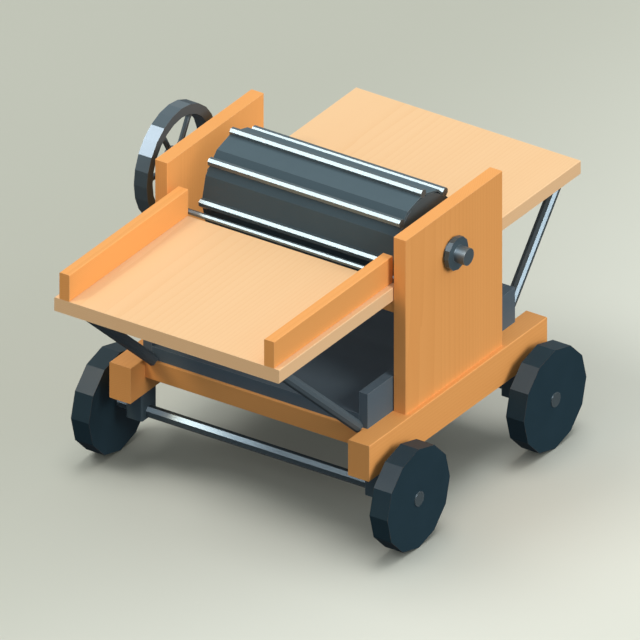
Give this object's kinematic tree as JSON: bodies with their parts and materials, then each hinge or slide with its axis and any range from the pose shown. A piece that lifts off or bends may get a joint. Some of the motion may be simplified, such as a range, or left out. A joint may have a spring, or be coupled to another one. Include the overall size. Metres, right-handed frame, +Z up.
{
  "type": "drum thresher",
  "caption": "Hand-fed drum thresher on a low wooden chassis with disc wheels: beater-bar drum over a rod concave, feed and straw tables, grain tray and spoked flywheel.",
  "frame": {"origin": "on the ground under the middle of the overall length, on the centre plane", "axes": "+X along the drum axis from the flywheel to the free shaft end, +Y from the feed table to the straw table, +Z up"},
  "size_m": [1.2258, 1.7324, 1.0705],
  "materials": {
    "chassis_timber": "orange-brown oiled timber, satin",
    "table_timber": "pale planed timber, satin",
    "blued_steel": "dark blue-grey mill finish, semi-gloss",
    "cast_iron": "dark as-cast iron",
    "wheel_timber": "solid timber discs under dark blue-grey paint",
    "bare_steel": "bare rolled steel, worn bright on top",
    "fastener_steel": "dull steel"
  },
  "bodies": {
    "chassis": {"left_rail": "chassis_timber", "right_rail": "chassis_timber", "front_cross_member": "chassis_timber", "rear_cross_member": "chassis_timber", "left_side_board": "chassis_timber", "right_side_board": "chassis_timber", "tenon_pegs": "table_timber", "tray_floor": "blued_steel", "tray_left_wall": "blued_steel", "tray_right_wall": "blued_steel", "tray_rear_wall": "blued_steel", "feed_table": "table_timber", "feed_left_cheek": "chassis_timber", "feed_right_cheek": "chassis_timber", "feed_bearer": "chassis_timber", "feed_left_strut": "blued_steel", "feed_right_strut": "blued_steel", "straw_table": "table_timber", "straw_bearer": "chassis_timber", "straw_left_strut": "blued_steel", "straw_right_strut": "blued_steel", "table_screws": "fastener_steel", "left_bearing": "cast_iron", "right_bearing": "cast_iron", "bearing_bolts": "fastener_steel", "concave_grate": "blued_steel", "front_axle": "bare_steel", "rear_axle": "bare_steel", "coach_screws": "fastener_steel", "front_left_block": "cast_iron", "front_right_block": "cast_iron", "rear_left_block": "cast_iron", "rear_right_block": "cast_iron", "front_left_cap": "bare_steel", "front_right_cap": "bare_steel", "rear_left_cap": "bare_steel", "rear_right_cap": "bare_steel"},
    "drum": {"drum_shaft": "bare_steel", "drum_barrel": "blued_steel", "drum_left_head": "cast_iron", "drum_right_head": "cast_iron", "beater_bar_1": "bare_steel", "beater_bar_2": "bare_steel", "beater_bar_3": "bare_steel", "beater_bar_4": "bare_steel", "beater_bar_5": "bare_steel", "beater_bar_6": "bare_steel", "beater_bar_7": "bare_steel", "beater_bar_8": "bare_steel", "flywheel": "cast_iron", "flywheel_key": "fastener_steel"},
    "front_left_wheel": {"front_left_wheel": "wheel_timber"},
    "front_right_wheel": {"front_right_wheel": "wheel_timber"},
    "rear_left_wheel": {"rear_left_wheel": "wheel_timber"},
    "rear_right_wheel": {"rear_right_wheel": "wheel_timber"}
  },
  "joints": [
    {"name": "drum_spin", "type": "hinge", "parent": "chassis", "child": "drum", "pos_m": [0, 0.05125, 0.87], "axis": [1, 0, 0], "continuous": true},
    {"name": "front_left_wheel_spin", "type": "hinge", "parent": "chassis", "child": "front_left_wheel", "pos_m": [-0.5745, -0.32775, 0.18], "axis": [1, 0, 0], "continuous": true},
    {"name": "front_right_wheel_spin", "type": "hinge", "parent": "chassis", "child": "front_right_wheel", "pos_m": [0.5745, -0.32775, 0.18], "axis": [1, 0, 0], "continuous": true},
    {"name": "rear_left_wheel_spin", "type": "hinge", "parent": "chassis", "child": "rear_left_wheel", "pos_m": [-0.5745, 0.45625, 0.18], "axis": [1, 0, 0], "continuous": true},
    {"name": "rear_right_wheel_spin", "type": "hinge", "parent": "chassis", "child": "rear_right_wheel", "pos_m": [0.5745, 0.45625, 0.18], "axis": [1, 0, 0], "continuous": true}
  ]
}
